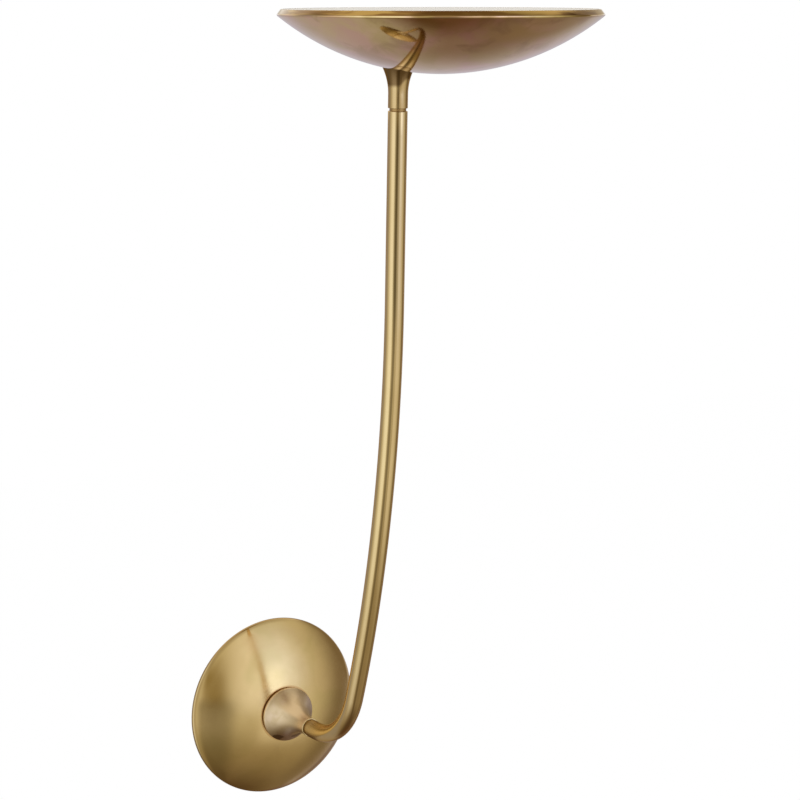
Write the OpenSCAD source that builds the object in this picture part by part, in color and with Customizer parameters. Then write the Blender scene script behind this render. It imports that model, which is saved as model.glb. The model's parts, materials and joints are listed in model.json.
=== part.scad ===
// Wall sconce: a shallow spun brass bowl carried on a long bent tube.
// Units are millimetres. The wall is the plane y = 0, the room is at -y, +z is up.
// The origin is the centre of the mounting strap, at the wall.

/* [Canopy] */
// Diameter of the round canopy on the wall
canopy_d = 135; // [120:1:160]
// Distance from the wall to the top of the canopy, where the hub stands
hub_y = 23.6; // [20:0.1:28]
// Depth of the straight edge that meets the wall
canopy_edge_h = 1.5; // [0.8:0.1:3]
// Sheet thickness of the canopy
canopy_wall = 1.0; // [0.6:0.1:1.6]
// Clearance of the canopy's hole round the stem
canopy_hole_gap = 0.35; // [0.2:0.05:0.6]

/* [Strap] */
// Length of the mounting strap
strap_l = 104; // [100:1:110]
// Width of the mounting strap
strap_w = 22; // [20:1:26]
// Thickness of the mounting strap
strap_t = 2.0; // [1.6:0.2:3]
// Distance between the centres of the two slots
slot_pitch = 79.4; // [76:0.2:84]
// Length of each slot from end to end
slot_l = 13.9; // [8:0.1:16]
// Width of each slot, for number 8 screws
slot_w = 4.4; // [4.2:0.1:5]
// Distance of the earth screw from the centre
earth_x = 25; // [22:0.5:27]
// Distance of the earth screw below the centre line
earth_z = 5; // [0:0.5:6]

/* [Threads and screws] */
// Outside diameter of the threaded stem and of the dish nipple
stem_d = 9.7; // [9.4:0.1:10.2]
// Bore of the threaded stem and of the dish nipple
stem_bore = 6.4; // [5:0.1:6.8]
// Outside diameter of the threaded spigots at the arm's ends
spigot_d = 8.0; // [7.4:0.1:8.4]
// Bore of the spigots at the arm's ends
spigot_bore = 5.2; // [4.8:0.1:5.6]
// Radial clearance in every threaded or plugged joint
thread_gap = 0.05; // [0.03:0.01:0.1]
// Width across flats of the hexagon nuts
nut_af = 14; // [13:0.5:15]
// Thickness of the hexagon nuts
nut_t = 3; // [2.5:0.1:3.6]
// Outside diameter of the lock washers
washer_d = 15; // [13.5:0.5:16]
// Thickness of the lock washers
washer_t = 1.0; // [0.8:0.1:1.4]
// Thread diameter of the small screws
screw_d = 3.0; // [2.5:0.1:3.4]
// Head diameter of the small screws
screw_head_d = 5.6; // [5:0.1:6.4]
// Head height of the small screws
screw_head_t = 2.0; // [1.6:0.1:2.4]

/* [Hub] */
// Diameter of the hub's foot on the canopy
hub_d = 40.6; // [36:0.2:44]
// Height of the hub's straight foot
hub_foot_h = 1.8; // [1:0.1:3]
// Diameter of the hub's neck
hub_neck_d = 13.2; // [12.6:0.1:14]
// Length of the hub's flare from foot to neck
hub_flare_l = 30.5; // [26:0.5:36]
// Length of the hub's straight neck
hub_neck_l = 2.7; // [2:0.1:5]
// Depth of the stem in the hub
hub_stem_depth = 21; // [16:0.5:22]
// Diameter of the thin ring at the hub's neck
ring_d = 13.9; // [13.4:0.1:14.6]
// Thickness of the thin ring
ring_t = 0.8; // [0.6:0.1:1.2]

/* [Arm] */
// Outside diameter of the arm's tube
tube_d = 12.7; // [12:0.1:13]
// Wall of the arm's tube
tube_wall = 1.0; // [0.8:0.1:1.2]
// Straight length of tube before the elbow
stub_l = 3; // [3:0.5:8]
// Centre line radius of the elbow
elbow_r = 62.5; // [55:0.5:75]
// Lean of the tube from upright at the end of the elbow, in degrees
lean_low = 19.6; // [15:0.1:25]
// Centre line radius of the long bow
bow_r = 950; // [800:10:1200]
// Lean of the tube from upright at its top, in degrees
lean_top = 1.921; // [1:0.001:4]
// Straight length of tube above the bow
top_run = 124.7; // [100:0.1:150]
// Diameter of the groove at the foot of the arm
foot_groove_d = 11.2; // [10.8:0.1:11.8]
// Width of the groove at the foot of the arm
foot_groove_w = 1.6; // [1:0.1:2.5]
// Diameter of the groove at the head of the arm
head_groove_d = 10.9; // [10.6:0.1:11.6]
// Width of the groove at the head of the arm
head_groove_w = 1.9; // [1:0.1:2.5]
// Length of the plug in the head of the arm
head_plug_l = 12; // [8:1:20]
// Length of the spigots at the arm's ends
spigot_l = 11; // [8:0.5:12]

/* [Coupler] */
// Diameter of the coupler at its foot
coupler_d = 12.8; // [12.2:0.1:13.4]
// Straight length of the coupler above the groove
coupler_straight = 8.9; // [6:0.1:11]
// Radius of the coupler's hollow flare
coupler_flare_r = 38; // [34:1:50]
// Distance from the arm's end to the dish, along the arm's axis
coupler_reach = 33.3; // [31:0.1:38]
// Depth of the dish nipple in the coupler
nipple_depth = 15; // [12:0.5:17]

/* [Dish] */
// Diameter of the dish at its widest edge
dish_d = 203; // [190:1:220]
// Depth of the dish below its widest edge
dish_depth = 36; // [33:0.5:40]
// Distance of the dish's axis from the wall
dish_y = 232.5; // [225:0.5:245]
// Sheet thickness of the dish
dish_wall = 1.0; // [0.8:0.1:1.4]
// Height of the bevelled lip above the widest edge
lip_h = 3.6; // [3:0.1:5]
// Distance that the lip leans in
lip_in = 2.8; // [2:0.1:4]
// Width of the lip's flat top
lip_w = 1.4; // [1:0.1:2]

/* [Diffuser] */
// Thickness of the diffuser
diffuser_t = 3.0; // [2:0.1:3.4]
// Clearance round the diffuser
diffuser_gap = 0.4; // [0.2:0.1:0.8]
// Width of the ledge that carries the diffuser
ledge_w = 5; // [4:0.5:8]
// Thickness of the ledge ring
ledge_t = 3.2; // [2:0.2:5]

/* [Light source] */
// Radius of the plate that carries the light board
plate_r = 74; // [72:0.5:78]
// Thickness of that plate
plate_t = 2.0; // [1.5:0.1:3]
// Radius on which the plate's posts stand
post_ring_r = 60; // [56:1:64]
// Diameter of the posts
post_d = 7; // [6:0.5:9]
// Radius of the light board
board_r = 40; // [38:0.5:42]
// Thickness of the light board
board_t = 1.6; // [1:0.1:2]
// Radius of the board's screw circle
board_screw_r = 36; // [35:0.5:37]
// Side of each light chip
chip_w = 3; // [2:0.2:3.5]
// Height of each light chip
chip_t = 0.8; // [0.5:0.1:1.2]
// Radius of the outer ring of chips
chip_outer_r = 25; // [22:0.5:26]
// Radius of the inner ring of chips
chip_inner_r = 13; // [10:0.5:16]
// Number of chips in the outer ring
chip_outer_n = 12; // [6:1:16]
// Number of chips in the inner ring
chip_inner_n = 6; // [3:1:8]
// Length of the board's terminal block
block_l = 8; // [6:0.5:8]
// Width of the board's terminal block
block_w = 12; // [10:0.5:14]
// Height of the board's terminal block
block_h = 5.5; // [5:0.1:7]

/* [Driver and leads] */
// Length of the driver's case
driver_l = 46; // [44:1:50]
// Height of the driver's case
driver_w = 23; // [20:0.5:24]
// Depth of the driver's case, out from the wall
driver_t = 9; // [8:0.2:10]
// Wall of the driver's case
driver_wall = 1.2; // [0.8:0.1:1.6]
// Clearance between the strap and the driver's case
driver_gap = 1.5; // [1:0.1:2]
// Distance from the centre to each of the driver's ears
ear_x = 17; // [16:0.5:18]
// Width of each ear
ear_w = 9; // [8:0.5:10]
// Thickness of each ear
ear_t = 1.2; // [1:0.1:1.5]
// Length of the supply terminal at the driver's end
supply_l = 8; // [6:0.5:9]
// Diameter of the leads
lead_d = 1.6; // [1.2:0.1:1.8]
// Clearance between the two leads
lead_gap = 0.4; // [0.3:0.1:0.6]
// Bend radius of the leads
lead_bend = 3.4; // [3:0.1:4]
// Distance of the leads from the wall where they enter the stem
port_y = 9; // [8.6:0.1:10]
// Length of the opening in the stem's side
port_l = 7; // [6:0.5:8]

/* [Hidden] */
$fn = 96;

brass = "#a8843c";
brass_light = "#c09a50";
steel = "#b9bcc0";
zinc = "#9aa0a6";
alloy = "#c9ccd0";
past = 1;                       // how far a cutting tool runs past a face

// Canopy, hub and foot of the arm: distances out from the wall
canopy_r = canopy_d / 2;
canopy_hole_r = stem_d / 2 + canopy_hole_gap;
canopy_ball_y = (hub_y + canopy_edge_h) / 2
    - (canopy_r * canopy_r - canopy_hole_r * canopy_hole_r) / (2 * (hub_y - canopy_edge_h));
canopy_ball_r = sqrt(pow(hub_y - canopy_ball_y, 2) + canopy_hole_r * canopy_hole_r);
hub_l = hub_foot_h + hub_flare_l + hub_neck_l;
ring_y = hub_y + hub_l;
foot_y = ring_y + ring_t;
tube_y = foot_y + foot_groove_w;
elbow_y = tube_y + stub_l;

// Path of the arm in the plane x = 0
elbow_sweep = 90 - lean_low;
bow_sweep = lean_low - lean_top;
bow_cy = -elbow_y + (bow_r - elbow_r) * sin(elbow_sweep);
bow_cz = elbow_r + (bow_r - elbow_r) * cos(elbow_sweep);
bow_end_y = bow_cy - bow_r * cos(lean_top);
bow_end_z = bow_cz - bow_r * sin(lean_top);
head_y = bow_end_y - top_run * sin(lean_top);
head_z = bow_end_z + top_run * cos(lean_top);

// Dish: its ball is placed so that its skin meets the coupler on the arm's axis
dish_r = dish_d / 2;
ball_r = (dish_r * dish_r + dish_depth * dish_depth) / (2 * dish_depth);
ball_in_r = ball_r - dish_wall;
seat_y = head_y - coupler_reach * sin(lean_top);
seat_z = head_z + coupler_reach * cos(lean_top);
seat_off = seat_y + dish_y;
ball_z = seat_z + sqrt(ball_r * ball_r - seat_off * seat_off);
edge_z = ball_z - ball_r + dish_depth;
lip_z = edge_z + lip_h;
lip_in_r = dish_r - lip_in - lip_w;
shell_in_r = sqrt(ball_in_r * ball_in_r - pow(ball_r - dish_depth, 2));

// Clamp stack inside the dish, along the arm's axis from the arm's end
saddle_r = washer_d / 2 + 1;
skin_slope = seat_off / ball_r;
saddle_top = coupler_reach + dish_wall + saddle_r * skin_slope / sqrt(1 - skin_slope * skin_slope) + 1;
nut_top = saddle_top + washer_t + nut_t;
nipple_top = nut_top + 1;
nipple_foot = coupler_reach - nipple_depth;

// Light source heights
plate_z = ball_z - sqrt(ball_in_r * ball_in_r - plate_r * plate_r);
board_z = plate_z + plate_t;
chip_z = board_z + board_t;
block_y = -dish_y + board_screw_r - block_l / 2;

// Driver and leads
driver_z = strap_w / 2 + driver_gap;
driver_y = strap_t;
lead_x = (lead_d + lead_gap) / 2;
lead_turn = 90 - lean_top;
lead_rise = round((chip_z + block_h / 2 - head_z - lead_bend) / cos(lean_top));
lead_up = lead_rise + lead_bend * sin(lead_turn);
lead_out = lead_bend * (1 - cos(lead_turn));
lead_z = head_z + lead_up * cos(lean_top) - lead_out * sin(lean_top);
lead_end_y = head_y - lead_up * sin(lean_top) - lead_out * cos(lean_top);

// Places
module out_from_wall(y) { translate([0, -y, 0]) rotate([90, 0, 0]) children(); }
// A move made in three steps, so that a long distance keeps all its digits
module shift(v) {
    whole = [for (c = v) round(c)];
    part = [for (c = v - whole) round(1000 * c) / 1000];
    translate(whole) translate(part) translate(v - whole - part) children();
}
module at_bow_end(s = 0) { shift([0, bow_end_y, bow_end_z]) rotate([lean_top, 0, 0]) translate([0, 0, s]) children(); }
module at_arm_head(s = 0) { at_bow_end(top_run) translate([0, 0, s]) children(); }
module at_dish(z = 0) { translate([0, -dish_y, z]) children(); }
module around(n, r, first = 0) {
    for (i = [0 : n - 1]) rotate([0, 0, first + i * 360 / n]) translate([r, 0, 0]) children();
}

// Shapes
module tube(d, bore, l) {
    difference() {
        cylinder(d = d, h = l);
        translate([0, 0, -past]) cylinder(d = bore, h = l + 2 * past);
    }
}
module hex_nut() {
    difference() {
        cylinder(d = nut_af / cos(30), h = nut_t, $fn = 6);
        translate([0, 0, -past]) cylinder(d = stem_d + 2 * thread_gap, h = nut_t + 2 * past);
    }
}
module lock_washer() { tube(washer_d, stem_d + 2 * thread_gap, washer_t); }
module pan_screw(l) {
    cylinder(d = screw_head_d, h = screw_head_t);
    translate([0, 0, -l]) cylinder(d = screw_d, h = l);
}
module screw_hole(h) { translate([0, 0, -past]) cylinder(d = screw_d + 2 * thread_gap, h = h + 2 * past); }

// A hollow flare: wide at the foot, running out tangent into a neck
module flare(foot_r, neck_r, l) {
    rise = foot_r - neck_r;
    hollow_r = (l * l + rise * rise) / (2 * rise);
    difference() {
        square([foot_r, l]);
        translate([neck_r + hollow_r, l]) circle(r = hollow_r, $fn = 360);
    }
}

// Bends of the arm: a section is swept in the plane x = 0 about a centre
module bend(cy, cz, r, from, sweep) {
    shift([0, cy, cz]) rotate([180, 90, 0])
        rotate_extrude(angle = sweep, start = from, $fn = 720) translate([r, 0]) children();
}
module section(d, bore) {
    difference() {
        circle(d = d);
        if (bore > 0) circle(d = bore);
    }
}
// The arm's line: stub, elbow, bow and straight top, with a round or hollow section
module arm_line(d, bore = 0, x = 0, before = 0, after = 0) {
    translate([x, -elbow_y, 0]) rotate([-90, 0, 0]) linear_extrude(stub_l + before) section(d, bore);
    bend(-elbow_y, elbow_r, elbow_r, 0, elbow_sweep) translate([0, -x]) section(d, bore);
    bend(bow_cy, bow_cz, bow_r, elbow_sweep, bow_sweep) translate([0, -x]) section(d, bore);
    at_bow_end() translate([x, 0, 0]) linear_extrude(top_run + after) section(d, bore);
}

// Wall side
module canopy() {
    color(brass) out_from_wall(0) difference() {
        rotate_extrude($fn = 240) {
            translate([canopy_r - canopy_wall, 0]) square([canopy_wall, canopy_edge_h]);
            difference() {
                translate([0, canopy_ball_y]) circle(r = canopy_ball_r, $fn = 360);
                translate([0, canopy_ball_y]) circle(r = canopy_ball_r - canopy_wall, $fn = 360);
                translate([-2 * canopy_ball_r, canopy_edge_h - 4 * canopy_ball_r])
                    square([4 * canopy_ball_r, 4 * canopy_ball_r]);
                translate([-2 * canopy_ball_r, -2 * canopy_ball_r])
                    square([2 * canopy_ball_r, 4 * canopy_ball_r]);
            }
        }
        cylinder(r = canopy_hole_r, h = 2 * canopy_d);
    }
}
module mounting_strap() {
    color(zinc) out_from_wall(0) difference() {
        translate([-strap_l / 2, -strap_w / 2, 0]) cube([strap_l, strap_w, strap_t]);
        translate([0, 0, -past]) cylinder(d = stem_d + 2 * thread_gap, h = strap_t + 2 * past);
        for (side = [-1, 1]) {
            translate([side * slot_pitch / 2, 0, -past]) slot_tool();
            translate([side * ear_x, ear_z(), 0]) screw_hole(strap_t);
        }
        translate([-earth_x, -earth_z, 0]) screw_hole(strap_t);
    }
}
module slot_tool() {
    run = slot_l - slot_w;
    for (end = [-1, 1]) translate([end * run / 2, 0, 0]) cylinder(d = slot_w, h = strap_t + 2 * past);
    translate([-run / 2, -slot_w / 2, 0]) cube([run, slot_w, strap_t + 2 * past]);
}
module earth_screw() {
    color("green") out_from_wall(strap_t) translate([-earth_x, -earth_z, 0]) {
        cylinder(d = screw_head_d / cos(30), h = screw_head_t, $fn = 6);
        translate([0, 0, -strap_t]) cylinder(d = screw_d, h = strap_t);
    }
}
module stem() {
    color(steel) difference() {
        out_from_wall(0) tube(stem_d, stem_bore, hub_y + hub_stem_depth);
        translate([-lead_x - lead_d, -port_y - port_l / 2, 0])
            cube([2 * (lead_x + lead_d), port_l, stem_d]);
    }
}
module stem_lock_washer() { color(steel) out_from_wall(strap_t) lock_washer(); }
module stem_lock_nut() { color(steel) out_from_wall(strap_t + washer_t) hex_nut(); }

// Hub and foot of the arm
module hub() {
    stem_room = hub_stem_depth + past;
    color(brass_light) out_from_wall(hub_y) difference() {
        rotate_extrude($fn = 180) {
            square([hub_d / 2, hub_foot_h]);
            translate([0, hub_foot_h]) flare(hub_d / 2, hub_neck_d / 2, hub_flare_l);
            square([hub_neck_d / 2, hub_l]);
        }
        translate([0, 0, -past]) cylinder(d = stem_d + 2 * thread_gap, h = stem_room + past);
        cylinder(d = spigot_d + 2 * thread_gap, h = hub_l + past);
    }
}
module neck_ring() { color(brass_light) out_from_wall(ring_y) tube(ring_d, spigot_d + 2 * thread_gap, ring_t); }
module arm_foot_insert() {
    plug_d = tube_d - 2 * tube_wall - 2 * thread_gap;
    taper_l = 4;
    color(brass) out_from_wall(0) difference() {
        union() {
            translate([0, 0, foot_y - spigot_l]) cylinder(d = spigot_d, h = spigot_l + past);
            translate([0, 0, foot_y]) cylinder(d = foot_groove_d, h = foot_groove_w);
            translate([0, 0, tube_y]) cylinder(d = plug_d, h = stub_l);
            translate([0, 0, elbow_y]) cylinder(d1 = plug_d, d2 = plug_d - 1.6, h = taper_l);
        }
        translate([0, 0, foot_y - spigot_l - past])
            cylinder(d = spigot_bore, h = spigot_l + foot_groove_w + stub_l + taper_l + 2 * past);
    }
}
module arm_tube() {
    color(brass) arm_line(tube_d, tube_d - 2 * tube_wall);
}

// Head of the arm and coupler
module arm_head_insert() {
    plug_d = tube_d - 2 * tube_wall - 2 * thread_gap;
    color(brass) at_arm_head() difference() {
        union() {
            translate([0, 0, -head_plug_l]) cylinder(d = plug_d, h = head_plug_l);
            cylinder(d = head_groove_d, h = head_groove_w);
            cylinder(d = spigot_d, h = head_groove_w + spigot_l);
        }
        translate([0, 0, -head_plug_l - past])
            cylinder(d = spigot_bore, h = head_plug_l + head_groove_w + spigot_l + 2 * past);
    }
}
module coupler() {
    straight_top = head_groove_w + coupler_straight;
    rise_l = coupler_reach - straight_top + saddle_r;
    color(brass_light) difference() {
        at_arm_head() difference() {
            rotate_extrude($fn = 180) {
                translate([0, head_groove_w]) square([coupler_d / 2, coupler_straight]);
                difference() {
                    translate([0, straight_top]) square([coupler_d, rise_l]);
                    translate([coupler_d / 2 + coupler_flare_r, straight_top])
                        circle(r = coupler_flare_r, $fn = 360);
                }
            }
            cylinder(d = spigot_d + 2 * thread_gap, h = coupler_reach);
            translate([0, 0, nipple_foot - past])
                cylinder(d = stem_d + 2 * thread_gap, h = nipple_depth + 2 * saddle_r);
        }
        at_dish(ball_z) sphere(r = ball_r, $fn = 360);
    }
}

// Dish and its clamp
module dish() {
    color(brass) difference() {
        at_dish(edge_z) rotate_extrude($fn = 360) {
            difference() {
                translate([0, ball_z - edge_z]) circle(r = ball_r, $fn = 720);
                translate([0, ball_z - edge_z]) circle(r = ball_in_r, $fn = 720);
                translate([-2 * ball_r, 0]) square([4 * ball_r, 4 * ball_r]);
                translate([-2 * ball_r, -2 * ball_r]) square([2 * ball_r, 4 * ball_r]);
            }
            polygon([[dish_r, 0], [dish_r - lip_in, lip_h], [lip_in_r, lip_h], [shell_in_r, 0],
                [(shell_in_r + dish_r) / 2 - dish_wall / 3, -dish_wall / 3]]);
        }
        at_arm_head() cylinder(d = stem_d + 2 * thread_gap, h = nipple_top);
    }
}
module dish_nipple() { color(steel) at_arm_head(nipple_foot) tube(stem_d, stem_bore, nipple_top - nipple_foot); }
module dish_saddle() {
    color(alloy) intersection() {
        at_arm_head(coupler_reach - saddle_r) tube(2 * saddle_r, stem_d + 2 * thread_gap,
            saddle_top - coupler_reach + saddle_r);
        at_dish(ball_z) sphere(r = ball_in_r, $fn = 360);
    }
}
module dish_lock_washer() { color(steel) at_arm_head(saddle_top) lock_washer(); }
module dish_lock_nut() { color(steel) at_arm_head(saddle_top + washer_t) hex_nut(); }
module nipple_bushing() {
    lead_way = 2 * (lead_x + lead_d / 2) + 2 * thread_gap;
    color("ivory") at_arm_head(nipple_top) {
        tube(stem_d - 2 * thread_gap, lead_way, washer_t);
        translate([0, 0, -nut_t]) tube(stem_bore - 2 * thread_gap, lead_way, nut_t);
    }
}

// Light source
module plate_posts() {
    color(alloy) intersection() {
        at_dish(plate_z - 2 * post_d) around(3, post_ring_r, -90) difference() {
            cylinder(d = post_d, h = 2 * post_d);
            translate([0, 0, post_d]) screw_hole(post_d);
        }
        at_dish(ball_z) sphere(r = ball_in_r, $fn = 360);
    }
}
module heat_plate() {
    color(alloy) difference() {
        intersection() {
            at_dish(plate_z) cylinder(r = plate_r, h = plate_t, $fn = 240);
            at_dish(ball_z) sphere(r = ball_in_r, $fn = 360);
        }
        at_dish(plate_z) around(3, post_ring_r, -90) screw_hole(plate_t);
        at_dish(plate_z) around(3, board_screw_r, -90) screw_hole(plate_t);
        at_arm_head(nut_top) cylinder(d = stem_d + 2 * washer_t, h = 4 * nut_t);
    }
}
module plate_screws() {
    color(steel) at_dish(board_z) around(3, post_ring_r, -90) pan_screw(plate_t + post_d / 2);
}
module light_board() {
    color("white") at_dish(board_z) difference() {
        cylinder(r = board_r, h = board_t, $fn = 180);
        around(3, board_screw_r, -90) screw_hole(board_t);
    }
}
module light_chips() {
    color("khaki") at_dish(chip_z) {
        around(chip_outer_n, chip_outer_r) chip();
        around(chip_inner_n, chip_inner_r) chip();
    }
}
module chip() { translate([-chip_w / 2, -chip_w / 2, 0]) cube([chip_w, chip_w, chip_t]); }
module board_screws() {
    color(steel) at_dish(chip_z) around(3, board_screw_r, -90) pan_screw(board_t + plate_t);
}
module board_terminal() {
    color("ivory") translate([-block_w / 2, block_y - block_l / 2, chip_z]) cube([block_w, block_l, block_h]);
}
module diffuser_ledge() {
    ledge_top = lip_h - diffuser_t;
    color(alloy) difference() {
        intersection() {
            at_dish(edge_z + ledge_top - ledge_t) cylinder(r = lip_in_r - diffuser_gap, h = ledge_t, $fn = 360);
            at_dish(ball_z) sphere(r = ball_in_r, $fn = 360);
        }
        at_dish(edge_z + ledge_top - ledge_t - past)
            cylinder(r = lip_in_r - ledge_w - diffuser_gap, h = ledge_t + 2 * past, $fn = 360);
    }
}
module diffuser() {
    color("whitesmoke") at_dish(lip_z - diffuser_t) cylinder(r = lip_in_r - diffuser_gap, h = diffuser_t, $fn = 360);
}

// Driver
function ear_z() = driver_z - ear_w / 2;
module driver_case() {
    color("dimgray") out_from_wall(driver_y) difference() {
        union() {
            translate([-driver_l / 2, driver_z, 0]) cube([driver_l, driver_w, driver_t]);
            for (side = [-1, 1]) translate([side * ear_x - ear_w / 2, ear_z() - ear_w / 2, 0])
                cube([ear_w, ear_w, ear_t]);
        }
        translate([driver_wall - driver_l / 2, driver_z + driver_wall, driver_wall])
            cube([driver_l - 2 * driver_wall, driver_w - 2 * driver_wall, driver_t]);
        for (side = [-1, 1]) {
            translate([side * ear_x, ear_z(), 0]) screw_hole(ear_t);
            translate([side * lead_x, driver_z - past, port_y - driver_y]) rotate([-90, 0, 0])
                cylinder(d = lead_d + 2 * thread_gap, h = driver_wall + 2 * past);
        }
    }
}
module driver_lid() {
    color("gray") out_from_wall(driver_y + driver_t) translate([-driver_l / 2, driver_z, 0])
        cube([driver_l, driver_w, driver_wall]);
}
module driver_screws() {
    color(steel) out_from_wall(driver_y + ear_t) for (side = [-1, 1])
        translate([side * ear_x, ear_z(), 0]) pan_screw(ear_t + strap_t);
}
module supply_terminal() {
    way_d = 2.4;
    color("ivory") out_from_wall(driver_y) difference() {
        translate([driver_l / 2, driver_z, 0]) cube([supply_l, driver_w / 2, driver_t - driver_wall]);
        for (i = [1 : 2]) translate([driver_l / 2 + supply_l / 4, driver_z + i * driver_w / 6, driver_t / 2])
            rotate([0, 90, 0]) cylinder(d = way_d, h = supply_l);
    }
}

// Leads: from the driver, through the stem, the arm and the dish nipple, to the light board
module lead(side) {
    x = side * lead_x;
    translate([x, -port_y, lead_bend]) cylinder(d = lead_d, h = driver_z + driver_wall - lead_bend);
    translate([x, -port_y - lead_bend, lead_bend]) rotate([90, 0, 90]) rotate([0, 0, -90])
        rotate_extrude(angle = 90) translate([lead_bend, 0]) circle(d = lead_d);
    arm_line(lead_d, x = x, before = elbow_y - stub_l - port_y - lead_bend, after = lead_rise);
    at_arm_head(lead_rise) translate([x, -lead_bend, 0]) {
        rotate([90, 0, 90]) rotate_extrude(angle = lead_turn) translate([lead_bend, 0]) circle(d = lead_d);
        rotate([lead_turn, 0, 0]) translate([0, lead_bend, 0])
            cylinder(d = lead_d, h = lead_end_y - block_y - block_l / 2);
    }
}
module lead_red() { color("firebrick") lead(-1); }
module lead_black() { color("#202020") lead(1); }

canopy();
mounting_strap();
earth_screw();
stem();
stem_lock_washer();
stem_lock_nut();
hub();
neck_ring();
arm_foot_insert();
arm_tube();
arm_head_insert();
coupler();
dish();
dish_nipple();
dish_saddle();
dish_lock_washer();
dish_lock_nut();
nipple_bushing();
plate_posts();
heat_plate();
plate_screws();
light_board();
light_chips();
board_screws();
board_terminal();
diffuser_ledge();
diffuser();
driver_case();
driver_lid();
driver_screws();
supply_terminal();
lead_red();
lead_black();
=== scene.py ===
"""Wall sconce: a spun brass bowl on a long bent tube, dressed for the photograph."""
import json
import math

import bmesh
import bpy
from mathutils import Matrix, Vector


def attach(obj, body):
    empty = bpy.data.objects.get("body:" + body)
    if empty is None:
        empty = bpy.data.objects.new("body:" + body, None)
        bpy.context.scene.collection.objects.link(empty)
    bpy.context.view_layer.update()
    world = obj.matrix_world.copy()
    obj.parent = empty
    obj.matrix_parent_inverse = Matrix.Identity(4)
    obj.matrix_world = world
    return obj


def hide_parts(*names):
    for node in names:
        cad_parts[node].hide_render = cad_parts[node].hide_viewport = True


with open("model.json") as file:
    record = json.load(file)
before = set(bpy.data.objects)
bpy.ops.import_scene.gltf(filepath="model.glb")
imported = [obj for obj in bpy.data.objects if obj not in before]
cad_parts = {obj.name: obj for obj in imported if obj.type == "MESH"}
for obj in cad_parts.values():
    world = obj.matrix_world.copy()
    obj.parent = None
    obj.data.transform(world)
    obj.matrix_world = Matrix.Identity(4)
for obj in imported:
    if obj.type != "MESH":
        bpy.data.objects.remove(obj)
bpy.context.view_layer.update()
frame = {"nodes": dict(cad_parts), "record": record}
MM = 0.001

# Sizes of the real light, in millimetres; the arm's two leans from upright are in radians
CANOPY_R, CANOPY_EDGE, CANOPY_WALL, CANOPY_HOLE_R = 67.5, 1.5, 1.0, 5.2
HUB_Y, HUB_R, HUB_FOOT, HUB_FLARE, HUB_NECK, HUB_NECK_R = 23.6, 20.3, 1.8, 30.5, 2.7, 6.6
RING_R, RING_T, RING_ROUND, FOOT_GROOVE_R, FOOT_GROOVE_W = 6.95, 0.8, 0.38, 5.6, 1.6
TUBE_R, TUBE_ROUND, STUB, ELBOW_R, BOW_R, TOP_RUN = 6.35, 0.35, 3.0, 62.5, 950.0, 124.7
LEAN_LOW, LEAN_TOP = math.radians(19.6), math.radians(1.921)
HEAD_GROOVE_R, HEAD_GROOVE_W = 5.45, 1.9
COUPLER_R, COUPLER_STRAIGHT, COUPLER_FLARE, COUPLER_REACH = 6.4, 8.9, 38.0, 33.3
DISH_R, DISH_DEPTH, DISH_Y, DISH_WALL, DISH_CREASE = 101.5, 36.0, 232.5, 1.0, 1.2
LIP_H, LIP_IN, LIP_W = 3.6, 2.8, 1.4
DIFFUSER_T, DIFFUSER_GAP, DIFFUSER_STEP_W, DIFFUSER_STEP_H = 3.0, 0.4, 6.0, 0.1

# Distances out from the wall, then the places (y, z) along the arm and under the bowl
RING_Y = HUB_Y + HUB_FOOT + HUB_FLARE + HUB_NECK
FOOT_Y = RING_Y + RING_T
TUBE_Y = FOOT_Y + FOOT_GROOVE_W
ELBOW_Y = TUBE_Y + STUB
BOW_CY = -ELBOW_Y + (BOW_R - ELBOW_R) * math.cos(LEAN_LOW)
BOW_CZ = ELBOW_R + (BOW_R - ELBOW_R) * math.sin(LEAN_LOW)
BOW_END = (BOW_CY - BOW_R * math.cos(LEAN_TOP), BOW_CZ - BOW_R * math.sin(LEAN_TOP))
HEAD = (BOW_END[0] - TOP_RUN * math.sin(LEAN_TOP), BOW_END[1] + TOP_RUN * math.cos(LEAN_TOP))
SEAT = (HEAD[0] - COUPLER_REACH * math.sin(LEAN_TOP), HEAD[1] + COUPLER_REACH * math.cos(LEAN_TOP))
BALL_R = (DISH_R ** 2 + DISH_DEPTH ** 2) / (2 * DISH_DEPTH)
BALL_Z = SEAT[1] + math.sqrt(BALL_R ** 2 - (SEAT[0] + DISH_Y) ** 2)
EDGE_Z = BALL_Z - BALL_R + DISH_DEPTH
CANOPY_BALL_Y = (HUB_Y + CANOPY_EDGE) / 2 - (CANOPY_R ** 2 - CANOPY_HOLE_R ** 2) / (
    2 * (HUB_Y - CANOPY_EDGE))
CANOPY_BALL_R = math.hypot(HUB_Y - CANOPY_BALL_Y, CANOPY_HOLE_R)

# How many parts a turned piece has round its axis: large, usual and small
LARGE_TURN, TURN, SMALL_TURN = 256, 192, 96
SHARP_FROM = math.radians(40)


class Knot:
    """A shader socket that takes part in plain arithmetic."""

    def __init__(self, graph, socket):
        self.graph, self.socket = graph, socket

    def __add__(self, other):
        return self.graph.math("ADD", self, other)

    def __sub__(self, other):
        return self.graph.math("SUBTRACT", self, other)

    def __rsub__(self, other):
        return self.graph.math("SUBTRACT", other, self)

    def __mul__(self, other):
        return self.graph.math("MULTIPLY", self, other)

    def __pow__(self, other):
        return self.graph.math("POWER", self, other)

    __radd__, __rmul__ = __add__, __mul__

    def step(self, low, high):
        """0 below low, 1 above high, smooth between."""
        return self.graph.add("ShaderNodeMapRange", {"interpolation_type": "SMOOTHSTEP"},
                              {"Value": self, "From Min": low, "From Max": high})

    def step_mm(self, low, high):
        """The same between two lengths in millimetres."""
        return self.step(low * MM, high * MM)


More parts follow.
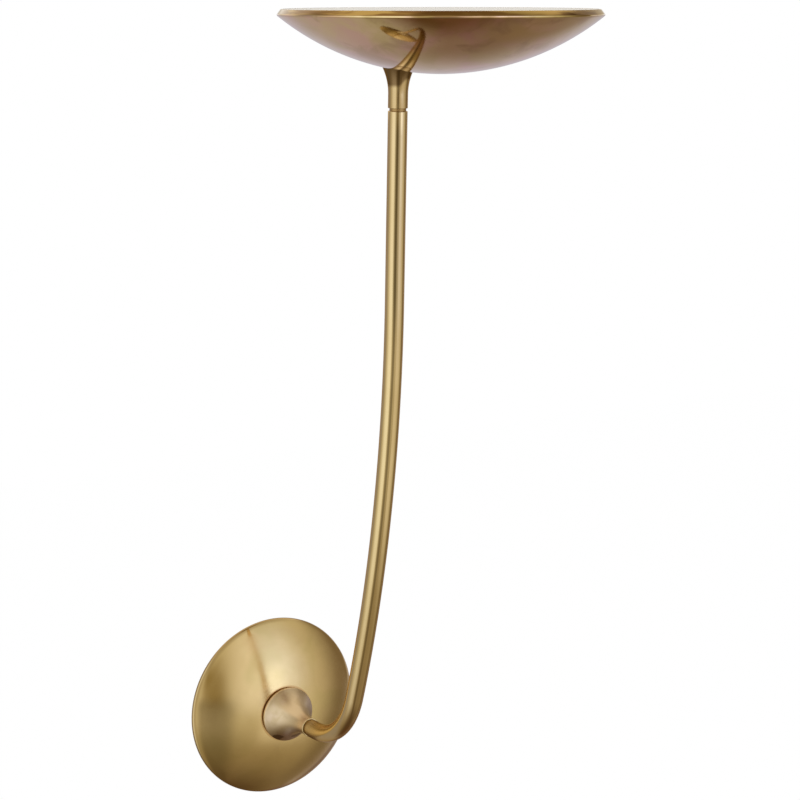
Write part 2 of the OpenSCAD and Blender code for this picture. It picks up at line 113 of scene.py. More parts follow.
class Graph:
    """The nodes of one material or of the world."""

    def __init__(self, owner):
        owner.use_nodes = True
        self.tree = owner.node_tree
        self.tree.nodes.clear()

    def add(self, kind, settings=None, inputs=None, out=0):
        """One node of any kind: first its settings, then the values or links of its sockets."""
        node = self.tree.nodes.new(kind)
        for key, value in (settings or {}).items():
            setattr(node, key, value)
        for key, value in (inputs or {}).items():
            socket = node.inputs[key]
            if isinstance(value, Knot):
                self.tree.links.new(value.socket, socket)
            else:
                socket.default_value = (*value, 1) if socket.type == "RGBA" else value
        return Knot(self, node.outputs[out]) if len(node.outputs) else None

    def math(self, operation, *values):
        return self.add("ShaderNodeMath", {"operation": operation}, dict(enumerate(values)))

    def mix(self, factor, a, b):
        """Colour a where the factor is 0, colour b where it is 1."""
        return self.add("ShaderNodeMix", {"data_type": "RGBA"}, {0: factor, 6: a, 7: b}, out=2)

    def place(self, scale=(1, 1, 1), move=(0, 0, 0)):
        """Object coordinates in metres, stretched and moved."""
        here = self.add("ShaderNodeTexCoord", out="Object")
        return self.add("ShaderNodeMapping", {}, {"Vector": here, "Scale": scale, "Location": move})

    def axes(self):
        """A point's x, y and z on the object, in metres."""
        node = self.add("ShaderNodeSeparateXYZ", {}, {"Vector": self.place()}).socket.node
        return [Knot(self, output) for output in node.outputs]

    def noise(self, where, scale, detail, rough, distortion=0.0):
        return self.add("ShaderNodeTexNoise", {}, {
            "Vector": where, "Scale": scale, "Detail": detail, "Roughness": rough,
            "Distortion": distortion})

    def bump(self, height, strength, distance):
        return self.add("ShaderNodeBump", {}, {
            "Height": height, "Strength": strength, "Distance": distance})

    def surface(self, **sockets):
        """The finished surface, from the shader's sockets under short names."""
        names = {"colour": "Base Color", "metal": "Metallic", "rough": "Roughness",
                 "coat": "Coat Weight", "coat_rough": "Coat Roughness", "tint": "Specular Tint",
                 "normal": "Normal"}
        shader = self.add("ShaderNodeBsdfPrincipled", {}, {
            names[key]: value for key, value in sockets.items()})
        self.add("ShaderNodeOutputMaterial", {}, {"Surface": shader})


def brass(name, base, tarnish, rough, grain, coat=0.0, streak=(1, 1, 1), dirt_and_painted_light=None, matt=None,
          edge=(1.0, 1.0, 1.0)):
    """Brass with soft clouds of tarnish and a fine rub in the polish, some of it lacquered.

    dirt adds a piece's own stains to the colour, and on some pieces also painted shade, highlights
    and reflections; matt changes the shine from place to place, and edge is the tint at a glancing
    angle.
    """
    material = bpy.data.materials.new(name)
    g = Graph(material)
    clouds = g.noise(g.place(), scale=22, detail=4, rough=0.55).step(0.36, 0.72)
    blush = g.noise(g.place(move=(3, 1, 2)), scale=9, detail=2, rough=0.5).step(0.4, 0.7)
    rub = g.noise(g.place(scale=streak), scale=grain, detail=5, rough=0.62)
    fine = g.noise(g.place(), scale=900, detail=2, rough=0.5)
    rosy = (base[0] * 0.98, base[1] * 0.93, base[2] * 1.12)
    colour = g.mix(clouds * 0.4, base, tarnish)
    colour = g.mix(blush * 0.25, colour, rosy)
    colour = g.mix(rub.step(0.45, 0.75) * 0.2, colour, tarnish)
    if dirt_and_painted_light:
        colour = dirt_and_painted_light(g, colour)
    shine = rough + (rub - 0.5) * (rough * 0.5) + clouds * (rough * 0.35)
    if matt:
        shine = matt(g, shine)
    g.surface(colour=colour, metal=1.0, rough=shine, coat=coat, coat_rough=max(0.05, rough * 0.6),
              tint=edge, normal=g.bump(rub * 0.5 + fine * 0.12, strength=0.06, distance=0.0004))
    return material


def plain(name, colour, rough, metal=0.0, grain=120, vary=0.12, pits=0.08, coat=0.0):
    """Moulded, plated or painted stock with a slight mottle and a fine surface."""
    material = bpy.data.materials.new(name)
    g = Graph(material)
    mottle = g.noise(g.place(), scale=grain, detail=4, rough=0.55)
    fine = g.noise(g.place(), scale=grain * 9, detail=2, rough=0.5)
    dark = tuple(c * (1 - vary) for c in colour)
    g.surface(colour=g.mix(mottle.step(0.3, 0.7), colour, dark), metal=metal, coat=coat,
              rough=rough + (mottle - 0.5) * (rough * 0.4),
              normal=g.bump(fine, strength=pits, distance=0.0003))
    return material


def stains(g, colour, move, scale, edges, strength, tint):
    """Soft clouds of one tint: a larger scale makes them smaller, edges say how sharp they are."""
    cloud = g.noise(g.place(move=move), scale, detail=4, rough=0.55, distortion=0.6)
    return g.mix(cloud.step(*edges) * strength, colour, tint)


def from_canopy_axis(x, z):
    """A point's distance from the axis that stands out from the wall."""
    return (x * x + z * z) ** 0.5


def canopy_patina_and_painted_light(g, colour):
    """Clouds on the dome, then painted light: shade and reflection round the hub, a shaded hem, a
    highlight and a dark line on the rim low on the right.
    """
    x, _, z = g.axes()
    out_r = from_canopy_axis(x, z)
    colour = stains(g, colour, (5, 2, 8), 22, (0.46, 0.70), 0.5, (0.53, 0.42, 0.19))
    colour = stains(g, colour, (2, 9, 4), 48, (0.48, 0.70), 0.4, (0.60, 0.44, 0.24))
    # Painted shade and painted reflection: an orange-brown ring on the dome round the hub's foot,
    # at the shadow gap.
    painted_gap_shade = 1 - out_r.step_mm(HUB_R + 0.3, HUB_R + 1.5)
    colour = g.mix(painted_gap_shade * 0.65, colour, (0.46, 0.26, 0.11))
    low_right = (x - z).step_mm(70, 92)
    high_left = (z - x).step_mm(40, 70)
    # Painted shade: a dark hem on the rim's edge, left out low on the right where the light falls.
    hem = out_r.step_mm(CANOPY_R - 0.9, CANOPY_R - 0.2)
    colour = g.mix(hem * (1 - low_right) * 0.75, colour, (0.22, 0.14, 0.07))
    # Painted reflection: a dark line inside the rim, low on the right only.
    painted_dark_line = out_r.step_mm(CANOPY_R - 7.5, CANOPY_R - 5.5)
    painted_dark_line = painted_dark_line * (1 - out_r.step_mm(CANOPY_R - 4, CANOPY_R - 2))
    colour = g.mix(painted_dark_line * low_right * 0.6, colour, (0.34, 0.22, 0.10))
    # Painted shade: a darker band on the rim's upper left.
    shaded_band = out_r.step_mm(CANOPY_R - 2.9, CANOPY_R - 1.1)
    colour = g.mix(shaded_band * high_left * 0.5, colour, (0.36, 0.25, 0.12))
    # Painted highlight: a pale rim low on the right, where the light falls.
    painted_highlight_rim = out_r.step_mm(CANOPY_R - 3, CANOPY_R - 1)
    return g.mix(painted_highlight_rim * low_right * 0.7, colour, (0.92, 0.82, 0.62))


def canopy_shine(g, shine):
    """The rim is polished brighter than the dome."""
    x, _, z = g.axes()
    rim = from_canopy_axis(x, z).step_mm(CANOPY_R - 8, CANOPY_R - 3)
    return shine * (1 - rim * 0.65)


def near_stub(g):
    """1 at the stub, fading out over the first part of the elbow."""
    y = g.axes()[1]
    return y.step_mm(-(ELBOW_Y + 26), -(ELBOW_Y - 4))


def tube_patina_and_painted_light(g, colour):
    """A painted dark reflection streak along the bow, and a dull brown near the stub, where polish
    is rare.
    """
    x, _, z = g.axes()
    # Painted reflection: a dark streak on the tube's left, front and back, up the bow, for the dark
    # sheet it mirrors.
    painted_dark_line = x.step_mm(-5.0, -3.8) * (1 - x.step_mm(-2.0, -0.8))
    painted_dark_line = painted_dark_line * z.step_mm(290, 340) * (1 - z.step_mm(440, 470))
    colour = g.mix(painted_dark_line * 0.6, colour, (0.25, 0.19, 0.10))
    return g.mix(near_stub(g) * 0.85, colour, (0.44, 0.34, 0.21))


def tube_shine(g, shine):
    """Near the stub the polish is only a satin."""
    return shine + near_stub(g) * 0.20


def hub_patina_and_painted_light(g, colour):
    """Pink and brown clouds in the satin, two painted dark reflection patches low down and a
    painted highlight on the foot.
    """
    x, y, z = g.axes()
    colour = stains(g, colour, (4, 6, 1), 60, (0.45, 0.65), 0.5, (0.60, 0.46, 0.39))
    colour = stains(g, colour, (1, 3, 7), 75, (0.50, 0.68), 0.5, (0.42, 0.31, 0.18))
    ragged = g.noise(g.place(move=(2, 2, 3)), scale=240, detail=3, rough=0.6) - 0.5
    # Painted reflection: two dark patches low down, where the hub mirrors dark shapes.
    for middle_x, middle_z, half_x, half_z in ((-10.8, -15.6, 5.0, 2.9), (4.0, -15.0, 4.8, 2.3)):
        across = (x - middle_x * MM) * (1 / (half_x * MM))
        up = (z - middle_z * MM) * (1 / (half_z * MM))
        painted_reflection_patch = 1 - (across * across + up * up + ragged * 1.6).step(0.7, 1.15)
        colour = g.mix(painted_reflection_patch * 0.8, colour, (0.16, 0.09, 0.05))
    # Painted highlight: a pale band on the foot's edge.
    foot = y.step_mm(-(HUB_Y + HUB_FOOT), -(HUB_Y + HUB_FOOT - 0.3))
    return g.mix(foot * 0.6, colour, (0.86, 0.70, 0.52))


def bell_patina(g, colour):
    """Brown tarnish on the coupler's flare, starting higher on the right of its polished foot."""
    x, y, z = g.axes()
    right = x * 0.85 - (y - HEAD[0] * MM) * 0.52
    height = z - right.step_mm(0.5, 6) * (4.5 * MM)
    bell = height.step_mm(HEAD[1] + 14.5, HEAD[1] + 17.5)
    return g.mix(bell * 0.95, colour, (0.175, 0.108, 0.052))


def bowl_patina(g, colour):
    """Rosy, olive and brown clouds on the bowl; gold and brown streaks round the bevelled lip."""
    z = g.axes()[2]
    lip = z.step_mm(EDGE_Z + 0.3, EDGE_Z + 0.9)
    colour = stains(g, colour, (1, 4, 0), 30, (0.40, 0.62), 0.78, (0.68, 0.42, 0.36))
    colour = stains(g, colour, (7, 2, 5), 26, (0.44, 0.62), 0.75, (0.58, 0.45, 0.19))
    colour = stains(g, colour, (3, 8, 2), 42, (0.50, 0.66), 0.55, (0.44, 0.30, 0.15))
    run = g.noise(g.place(scale=(1, 1, 9)), scale=26, detail=3, rough=0.5, distortion=0.6)
    streaks = g.mix(run.step(0.40, 0.60), (0.39, 0.255, 0.085), (0.185, 0.095, 0.025))
    return g.mix(lip, colour, streaks)


GLANCING_GOLD = (0.70, 0.55, 0.36)
brass_bowl = brass("brass_bowl", (0.70, 0.53, 0.31), (0.60, 0.42, 0.23), 0.05, 60, coat=0.15,
                   dirt_and_painted_light=bowl_patina)
brass_canopy = brass("brass_canopy", (0.675, 0.515, 0.28), (0.60, 0.43, 0.195), 0.18, 70, coat=0.1,
                     dirt_and_painted_light=canopy_patina_and_painted_light, matt=canopy_shine)
brass_tube = brass("brass_tube", (0.61, 0.47, 0.265), (0.52, 0.38, 0.19), 0.10, 160,
                   streak=(1, 1, 0.06), dirt_and_painted_light=tube_patina_and_painted_light, matt=tube_shine, edge=GLANCING_GOLD)
brass_turned = brass("brass_turned", (0.56, 0.435, 0.30), (0.48, 0.37, 0.25), 0.30, 140, coat=0.15,
                     dirt_and_painted_light=hub_patina_and_painted_light)
brass_coupler = brass("brass_coupler", (0.52, 0.385, 0.20), (0.42, 0.29, 0.14), 0.12, 140,
                      dirt_and_painted_light=bell_patina, edge=GLANCING_GOLD)
brass_ring = brass("brass_ring", (0.64, 0.51, 0.30), (0.52, 0.38, 0.20), 0.22, 140)
brass_groove = brass("brass_groove", (0.40, 0.26, 0.11), (0.20, 0.12, 0.05), 0.35, 160)
steel = plain("zinc_plate", (0.58, 0.59, 0.61), 0.34, metal=1.0)
earth_green = plain("earth_green", (0.03, 0.20, 0.07), 0.35, metal=0.6)
aluminium = plain("mill_aluminium", (0.70, 0.71, 0.73), 0.38, metal=1.0)
board_white = plain("board_white", (0.80, 0.81, 0.80), 0.35, vary=0.04)
phosphor = plain("phosphor", (0.80, 0.62, 0.14), 0.5)
ivory = plain("ivory_plastic", (0.74, 0.71, 0.62), 0.45)
dark_plastic = plain("dark_plastic", (0.035, 0.035, 0.04), 0.5)
red_sleeve = plain("red_sleeve", (0.42, 0.02, 0.015), 0.4)
black_sleeve = plain("black_sleeve", (0.02, 0.02, 0.02), 0.4)
opal = plain("opal_acrylic", (0.88, 0.88, 0.875), 0.28, grain=40, vary=0.02, pits=0.01, coat=0.2)


def arc(cx, cy, radius, start, end, steps):
    """Points on a circle, in degrees from start to end."""
    turns = [math.radians(start + (end - start) * i / steps) for i in range(steps + 1)]
    return [(cx + radius * math.cos(turn), cy + radius * math.sin(turn)) for turn in turns]


def finish_piece(mesh, name, material, node):
    """Makes the shape a piece of the light that stands for a solid of the frame."""
    bmesh.ops.remove_doubles(mesh, verts=mesh.verts, dist=1e-6)
    bmesh.ops.recalc_face_normals(mesh, faces=mesh.faces)
    for face in mesh.faces:
        face.smooth = True
    data = bpy.data.meshes.new(name)
    mesh.to_mesh(data)
    mesh.free()
    data.set_sharp_from_angle(angle=SHARP_FROM)
    data.materials.append(material)
    piece = bpy.data.objects.new(name, data)
    bpy.context.scene.collection.objects.link(piece)
    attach(piece, "root")
    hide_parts(node)


def rounded_wire(mesh, corners, closed):
    """A wire through corners (across, along, rounding), in millimetres, rounded where asked."""
    verts = [mesh.verts.new((x * MM, 0, y * MM)) for x, y, *_ in corners]
    for a, b in zip(verts, verts[1:] + (verts[:1] if closed else [])):
        mesh.edges.new((a, b))
    for vert, (_, _, *rounding) in zip(verts, corners):
        if rounding:
            bmesh.ops.bevel(mesh, geom=[vert], offset=rounding[0] * MM, offset_type="OFFSET",
                            affect="VERTICES", segments=6, profile=0.5, material=-1)


def turned(corners, place, closed=False, steps=TURN):
    """A piece turned on a lathe: the wire is spun about its own axis, then put in place."""
    mesh = bmesh.new()
    rounded_wire(mesh, corners, closed)
    bmesh.ops.spin(mesh, geom=mesh.verts[:] + mesh.edges[:], cent=(0, 0, 0), axis=(0, 0, 1),
                   dvec=(0, 0, 0), angle=2 * math.pi, steps=steps, use_merge=True,
                   use_duplicate=False)
    bmesh.ops.transform(mesh, matrix=place, verts=mesh.verts)
    return mesh


def out_from_wall(y=0.0):
    """The lathe axis stands out from the wall, starting at y."""
    return Matrix.Translation((0, -y * MM, 0)) @ Matrix.Rotation(math.radians(90), 4, "X")


def at_head():
    """The lathe axis goes on from the top of the arm."""
    return Matrix.Translation((0, HEAD[0] * MM, HEAD[1] * MM)) @ Matrix.Rotation(LEAN_TOP, 4, "X")


def at_dish(z):
    """The lathe axis is upright through the middle of the bowl, starting at height z."""
    return Matrix.Translation((0, -DISH_Y * MM, z * MM))


# Canopy: a spun dome with a short straight edge; the rounding takes the dome's first points' place
edge_turn = math.degrees(math.acos(CANOPY_R / CANOPY_BALL_R))
hole_turn = math.degrees(math.acos(CANOPY_HOLE_R / CANOPY_BALL_R))
dome = arc(0, CANOPY_BALL_Y, CANOPY_BALL_R, edge_turn, hole_turn, 60)
inside = arc(0, CANOPY_BALL_Y, CANOPY_BALL_R - CANOPY_WALL, hole_turn, edge_turn + 0.4, 40)
inner_r = CANOPY_R - CANOPY_WALL
canopy_wire = [(inner_r, 0), (CANOPY_R, 0, 0.2), (CANOPY_R, CANOPY_EDGE, 1.1)]
canopy_wire += dome[3:] + inside + [(inner_r, 0.8)]
finish_piece(turned(canopy_wire, out_from_wall(), closed=True, steps=LARGE_TURN), "canopy_dome",
             brass_canopy, "canopy")

# Hub: a trumpet with a short straight foot and a straight neck
narrowing = HUB_R - HUB_NECK_R
hollow_r = (HUB_FLARE ** 2 + narrowing ** 2) / (2 * narrowing)
flare_turn = math.degrees(math.asin(HUB_FLARE / hollow_r))
flare = arc(HUB_NECK_R + hollow_r, HUB_FOOT + HUB_FLARE, hollow_r, 180 + flare_turn, 180, 48)
hub_h = HUB_FOOT + HUB_FLARE + HUB_NECK
hub_wire = [(0, 0), (HUB_R, 0, 0.2), (HUB_R, HUB_FOOT, 0.6)] + flare[2:]
hub_wire += [(HUB_NECK_R, hub_h, 0.2), (0, hub_h)]
finish_piece(turned(hub_wire, out_from_wall(HUB_Y)), "hub_trumpet", brass_turned, "hub")

# The thin ring at the hub's neck and the groove between it and the tube
neck_wire = [(0, 0), (RING_R, 0, RING_ROUND), (RING_R, RING_T, RING_ROUND), (0, RING_T)]
finish_piece(turned(neck_wire, out_from_wall(RING_Y), steps=SMALL_TURN), "neck_band", brass_ring,
             "neck_ring")
foot_wire = [(0, 0), (FOOT_GROOVE_R, 0), (FOOT_GROOVE_R, FOOT_GROOVE_W), (0, FOOT_GROOVE_W)]
finish_piece(turned(foot_wire, out_from_wall(FOOT_Y), steps=SMALL_TURN), "foot_groove",
             brass_groove, "arm_foot_insert")

# Arm: one round tube swept through stub, elbow, bow and straight top, with rounded ends
ROUND_STEPS, ELBOW_STEPS, BOW_STEPS, TOP_STEPS = 4, 72, 60, 8
flat_r = TUBE_R - TUBE_ROUND
mesh = bmesh.new()
bmesh.ops.create_circle(mesh, cap_ends=False, radius=flat_r * MM, segments=SMALL_TURN)
bmesh.ops.transform(mesh, matrix=out_from_wall(TUBE_Y), verts=mesh.verts)


def open_end(made):
    """The points and the ring of edges at the tube's open end, among what has just been made."""
    points = [v for v in made if isinstance(v, bmesh.types.BMVert)]
    here = set(points)
    ring = [e for e in made if isinstance(e, bmesh.types.BMEdge) and here.issuperset(e.verts)]
    return points, ring


def run_on(ring, step, scale=None):
    """Carries the open end a straight step on, in metres, and makes it wider or narrower."""
    points, ring = open_end(bmesh.ops.extrude_edge_only(mesh, edges=ring)["geom"])
    bmesh.ops.translate(mesh, vec=step, verts=points)
    if scale:
        middle = sum((v.co for v in points), Vector()) / len(points)
        for v in points:
            v.co = middle + (v.co - middle) * scale
    return ring


def bend(ring, centre_y, centre_z, angle, steps):
    """Carries the open end round a bend in the upright plane."""
    made = bmesh.ops.spin(mesh, geom=ring, cent=(0, centre_y * MM, centre_z * MM), axis=(1, 0, 0),
                          dvec=(0, 0, 0), angle=angle, steps=steps, use_duplicate=False)
    return open_end(made["geom_last"])[1]


quarter = [math.radians(90 * i / ROUND_STEPS) for i in range(ROUND_STEPS + 1)]
outward, along = Vector((0, -1, 0)), Vector((0, -math.sin(LEAN_TOP), math.cos(LEAN_TOP)))
ring = mesh.edges[:]
for a, b in zip(quarter, quarter[1:]):
    grow = (flat_r + TUBE_ROUND * math.sin(b)) / (flat_r + TUBE_ROUND * math.sin(a))
    ring = run_on(ring, outward * (TUBE_ROUND * (math.cos(a) - math.cos(b)) * MM), grow)
ring = run_on(ring, outward * ((STUB - TUBE_ROUND) * MM))
ring = bend(ring, -ELBOW_Y, ELBOW_R, LEAN_LOW - math.pi / 2, ELBOW_STEPS)
ring = bend(ring, BOW_CY, BOW_CZ, LEAN_TOP - LEAN_LOW, BOW_STEPS)
for _ in range(TOP_STEPS):
    ring = run_on(ring, along * ((TOP_RUN - TUBE_ROUND) / TOP_STEPS * MM))
for a, b in zip(quarter, quarter[1:]):
    shrink = (flat_r + TUBE_ROUND * math.cos(b)) / (flat_r + TUBE_ROUND * math.cos(a))
    ring = run_on(ring, along * (TUBE_ROUND * (math.sin(b) - math.sin(a)) * MM), shrink)
bmesh.ops.holes_fill(mesh, edges=[e for e in mesh.edges if e.is_boundary], sides=0)
finish_piece(mesh, "bent_tube", brass_tube, "arm_tube")

# The groove between the tube and the coupler
head_wire = [(0, 0), (HEAD_GROOVE_R, 0), (HEAD_GROOVE_R, HEAD_GROOVE_W), (0, HEAD_GROOVE_W)]
finish_piece(turned(head_wire, at_head(), steps=SMALL_TURN), "head_groove", brass_groove,
             "arm_head_insert")

# Coupler: a trumpet turned too long, whose wide end is then trimmed to the bowl's underside
bell_start = HEAD_GROOVE_W + COUPLER_STRAIGHT
bell_turn = math.degrees(math.acos(1 - COUPLER_R / COUPLER_FLARE))
bell = arc(COUPLER_R + COUPLER_FLARE, bell_start, COUPLER_FLARE, 180, 180 - bell_turn, 40)
bell_wire = [(0, HEAD_GROOVE_W), (COUPLER_R, HEAD_GROOVE_W, 0.3), (COUPLER_R, bell_start - 0.5)]
bell_wire += bell + [(2 * COUPLER_R, COUPLER_REACH + 8)]
mesh = turned(bell_wire, at_head())
ball = Vector((0, -DISH_Y * MM, BALL_Z * MM))
seat = Vector((0, SEAT[0] * MM, SEAT[1] * MM))
bmesh.ops.bisect_plane(mesh, geom=mesh.verts[:] + mesh.edges[:] + mesh.faces[:], dist=1e-7,
                       plane_co=seat, plane_no=seat - ball, clear_inner=True)
for vert in mesh.verts:
    if vert.is_boundary:
        reach = vert.co - ball
        rise = along.dot(reach)
        vert.co -= along * (rise + math.sqrt(rise ** 2 - reach.length_squared + (BALL_R * MM) ** 2))
bmesh.ops.holes_fill(mesh, edges=[e for e in mesh.edges if e.is_boundary], sides=0)
finish_piece(mesh, "coupler_trumpet", brass_coupler, "coupler")

# Bowl: a spun shell, part of a ball, with a rolled crease and a bevelled lip
crease_turn = math.degrees(math.acos(DISH_R / BALL_R))
under = arc(0, BALL_R, BALL_R, -90, -crease_turn, 72)
skin = arc(0, BALL_R, BALL_R - DISH_WALL, -crease_turn - 0.5, -90, 48)
lip_r, lip_top = DISH_R - LIP_IN, DISH_DEPTH + LIP_H
bowl_wire = under[:-1] + [(DISH_R, DISH_DEPTH, DISH_CREASE), (lip_r, lip_top, 0.35),
                          (lip_r - LIP_W, lip_top, 0.3)] + skin
finish_piece(turned(bowl_wire, at_dish(BALL_Z - BALL_R), steps=LARGE_TURN), "bowl_shell",
             brass_bowl, "dish")

# Opal disc: lies in the lip, with a slight step round its top
disc_r = lip_r - LIP_W - DIFFUSER_GAP
disc_wire = [(0, 0), (disc_r, 0, 0.3), (disc_r, DIFFUSER_T - DIFFUSER_STEP_H, 0.6),
             (disc_r - DIFFUSER_STEP_W, DIFFUSER_T), (0, DIFFUSER_T)]
finish_piece(turned(disc_wire, at_dish(EDGE_Z + LIP_H - DIFFUSER_T), steps=LARGE_TURN),
             "opal_disc", opal, "diffuser")

# Stock pieces keep their solids and get their finish
finishes = {
    "zinc_steel": steel, "earth_green": earth_green, "aluminium": aluminium,
    "board_white": board_white, "chip_yellow": phosphor, "ivory_plastic": ivory,
    "dark_plastic": dark_plastic, "red_insulation": red_sleeve, "black_insulation": black_sleeve,
    "turned_brass": brass_groove, "satin_brass": brass_turned, "polished_brass": brass_canopy,
    "opal": opal,
}
for part in frame["record"]["subparts"]:
    stock = frame["nodes"][part["node"]]
    stock.data.materials.clear()
    stock.data.materials.append(finishes[part["material_slot"]])

# Studio: a pale floor that the camera sees as white, three soft boxes and a surround
FLOOR_HALF, FLOOR_Z = 6, -1.3
floor_mesh = bmesh.new()
bmesh.ops.create_grid(floor_mesh, x_segments=1, y_segments=1, size=FLOOR_HALF)
bmesh.ops.translate(floor_mesh, vec=(0, 0, FLOOR_Z), verts=floor_mesh.verts)
floor_data = bpy.data.meshes.new("floor")
floor_mesh.to_mesh(floor_data)
floor_mesh.free()
floor = bpy.data.objects.new("floor", floor_data)
bpy.context.scene.collection.objects.link(floor)
floor_paint = bpy.data.materials.new("floor_paint")
g = Graph(floor_paint)
ray = g.add("ShaderNodeLightPath", out="Is Camera Ray")
paint = g.add("ShaderNodeBsdfDiffuse", {}, {"Color": (0.90, 0.90, 0.89)})
white = g.add("ShaderNodeEmission", {}, {"Color": (1, 1, 1), "Strength": 1.045})
floor_look = g.add("ShaderNodeMixShader", {}, {0: ray * 0.93, 1: paint, 2: white})
g.add("ShaderNodeOutputMaterial", {}, {"Surface": floor_look})
floor_data.materials.append(floor_paint)
floor.visible_glossy = False


def bearing(azimuth, elevation):
    """A direction from the light: azimuth from the front to the right, then up."""
    a, e = math.radians(azimuth), math.radians(elevation)
    return Vector((math.sin(a) * math.cos(e), -math.cos(a) * math.cos(e), math.sin(e)))


def soft_box(name, azimuth, elevation, width, height, level, colour):
    """An area lamp whose face has that level, 2 m from the middle of the light."""
    lamp = bpy.data.lights.new(name, "AREA")
    lamp.shape, lamp.size, lamp.size_y = "RECTANGLE", width, height
    lamp.energy, lamp.color = math.pi * width * height * level, colour
    holder = bpy.data.objects.new(name, lamp)
    aim = Vector((0, -0.12, 0.2))
    holder.location = aim + bearing(azimuth, elevation) * 2.0
    holder.rotation_euler = (aim - holder.location).to_track_quat("-Z", "Y").to_euler()
    holder.visible_camera = holder.visible_glossy = False
    bpy.context.scene.collection.objects.link(holder)


soft_box("soft_box_right", 34, 16, 1.7, 1.5, 0.85, (1.0, 0.97, 0.92))
soft_box("soft_box_left", -72, 2, 1.4, 2.2, 0.85, (1.0, 0.97, 0.92))
soft_box("soft_box_top", -20, 78, 1.6, 1.6, 0.9, (1.0, 0.99, 0.97))

world = bpy.data.worlds.new("surround")
bpy.context.scene.world = world
sky = Graph(world)
way = sky.add("ShaderNodeTexCoord", out="Generated")


def along_way(direction):
    """How far a ray goes in a direction, from -1 to 1."""
    return sky.add("ShaderNodeVectorMath", {"operation": "DOT_PRODUCT"}, {0: way, 1: direction},
                   out="Value")


def ramp(angle, start, end):
    """0 before the start and 1 after the end, in degrees."""
    return angle.step(math.radians(start), math.radians(end))


def window(angle, edges):
    """1 between the two middle edges, in degrees, and 0 beyond the two outer ones."""
    a, b, c, d = edges
    return ramp(angle, a, b) * (1 - ramp(angle, c, d))


def hang(surround, azimuths, heights, level, colour):
    """Hangs a sheet of cloth or card round the light, with soft edges, at these degrees."""
    middle = (azimuths[0] + azimuths[3]) / 2
    turn = math.radians(middle)
    ahead = along_way((math.sin(turn), -math.cos(turn), 0))
    side = along_way((math.cos(turn), math.sin(turn), 0))
    swing = sky.math("ARCTAN2", side, ahead)
    mask = window(swing, [edge - middle for edge in azimuths]) * window(climb, heights)
    return sky.mix(mask * level, surround, colour)


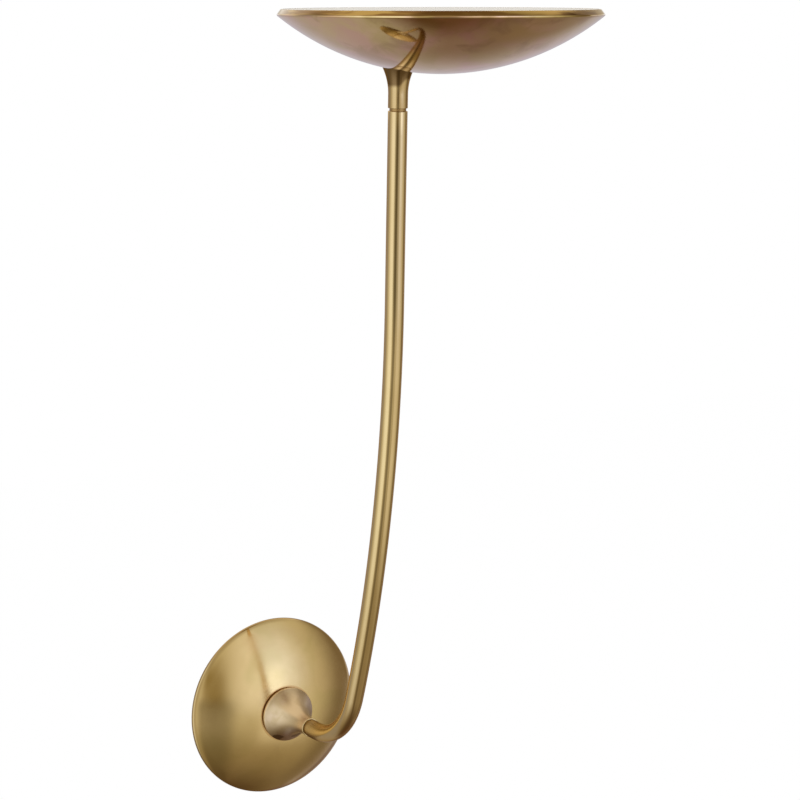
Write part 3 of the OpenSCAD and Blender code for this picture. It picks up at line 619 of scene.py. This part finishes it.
# What the brass mirrors: from the dark floor up to the ceiling, then sheet by sheet
climb = sky.math("ARCSINE", along_way((0, 0, 1)))
surround = sky.mix(ramp(climb, -84, -44), (0.14, 0.090, 0.045), (0.42, 0.345, 0.20))
surround = sky.mix(ramp(climb, -52, -14), surround, (0.74, 0.69, 0.50))
surround = sky.mix(ramp(climb, 52, 84), surround, (0.55, 0.44, 0.27))
wall_side = sky.mix(ramp(climb, -76, -56), (0.16, 0.09, 0.04), (0.27, 0.195, 0.16))
wall_side = sky.mix(ramp(climb, -54, -14), wall_side, (0.57, 0.53, 0.58))
wall_side = sky.mix(ramp(climb, -1.5, 1), wall_side, (1.02, 1.00, 0.97))
wall_side = sky.mix(ramp(climb, 3, 7), wall_side, (0.64, 0.56, 0.43))
for azimuths, heights, level, colour in (
        # Dark flags to the right and to the left
        ((55, 84, 94, 97), (-72, -60, 35, 55), 1.0, (0.26, 0.20, 0.115)),
        ((-190, -165, -140, -115), (-70, -45, 35, 55), 0.9, (0.44, 0.42, 0.40)),
        # Behind: the pale wall side and its edge, a bright upper sheet and a brown stand
        ((95, 98, 190, 215), (-95, -92, 80, 89), 1.0, wall_side),
        ((95, 98, 101, 107), (-62, -54, -20, -5), 0.95, (0.48, 0.42, 0.38)),
        ((150, 166, 196, 212), (4, 12, 80, 89), 1.0, (1.45, 1.40, 1.25)),
        ((103, 110, 122, 132), (-60, -50, -24, -10), 0.62, (0.30, 0.21, 0.15)),
        # A bright sheet overhead, and a grey one low behind
        ((55, 90, 270, 305), (30, 46, 95, 99), 1.0, (1.25, 1.14, 0.88)),
        ((142, 174, 200, 230), (-75, -58, -36, -16), 0.85, (0.56, 0.52, 0.47)),
        # Front: a mid sheet, the bounce under the right soft box, and the two soft boxes
        ((-26, 2, 7, 10), (-22, -2, 30, 60), 1.0, (1.12, 1.10, 1.02)),
        ((4, 9, 34, 66), (-44, -30, -18, 0), 0.9, (1.00, 0.95, 0.78)),
        ((6.5, 9, 20, 58), (-22, 2, 14, 62), 1.0, (1.30, 1.39, 1.60)),
        ((-124, -78, -59, -48), (-66, -16, 30, 50), 1.0, (1.38, 1.43, 1.34)),
        # The dark stand between them, its foot and its shadow
        ((-42, -34, -26, -16), (-16, -2, 10, 38), 1.0, (0.36, 0.28, 0.12)),
        ((-46, -38, -22, -11), (-84, -66, -9, 1), 0.52, (0.08, 0.055, 0.02)),
        ((-42, -34, -18, -6), (-22, -15, -8, 2), 0.15, (0.10, 0.065, 0.02)),
        # The hot middle of the right soft box
        ((2, 9, 19, 32), (-10, 0, 10, 20), 0.75, (1.72, 1.84, 2.00))):
    surround = hang(surround, azimuths, heights, level, colour)

# Polished metal mirrors the surround, rough surfaces take an even fill, the camera sees white
camera_ray = sky.add("ShaderNodeLightPath", out="Is Camera Ray")
glossy_ray = sky.add("ShaderNodeLightPath", out="Is Glossy Ray")
clear_ray = sky.add("ShaderNodeLightPath", out="Is Transmission Ray")
fill = sky.mix(glossy_ray, (0.42, 0.42, 0.42), surround)
seen = sky.mix(sky.math("MAXIMUM", camera_ray, clear_ray), fill, (1, 1, 1))
backdrop = sky.add("ShaderNodeBackground", {}, {"Color": seen, "Strength": 1.0})
sky.add("ShaderNodeOutputWorld", {}, {"Surface": backdrop})

# Camera: the photograph's view, from the front left and a little above
CAMERA_PLACE, CAMERA_DOWN, CAMERA_TURN = (-0.7194, -1.3610, 0.5331), 11.02, -31.44
scene = bpy.context.scene
scene.view_settings.view_transform = "Standard"
lens = bpy.data.cameras.new("photo_view")
lens.sensor_width, lens.lens, lens.clip_start, lens.clip_end = 36, 96.165, 0.05, 50
eye = bpy.data.objects.new("photo_view", lens)
eye.location = CAMERA_PLACE
eye.rotation_euler = (math.radians(90 - CAMERA_DOWN), 0, math.radians(CAMERA_TURN))
scene.collection.objects.link(eye)
scene.camera = eye
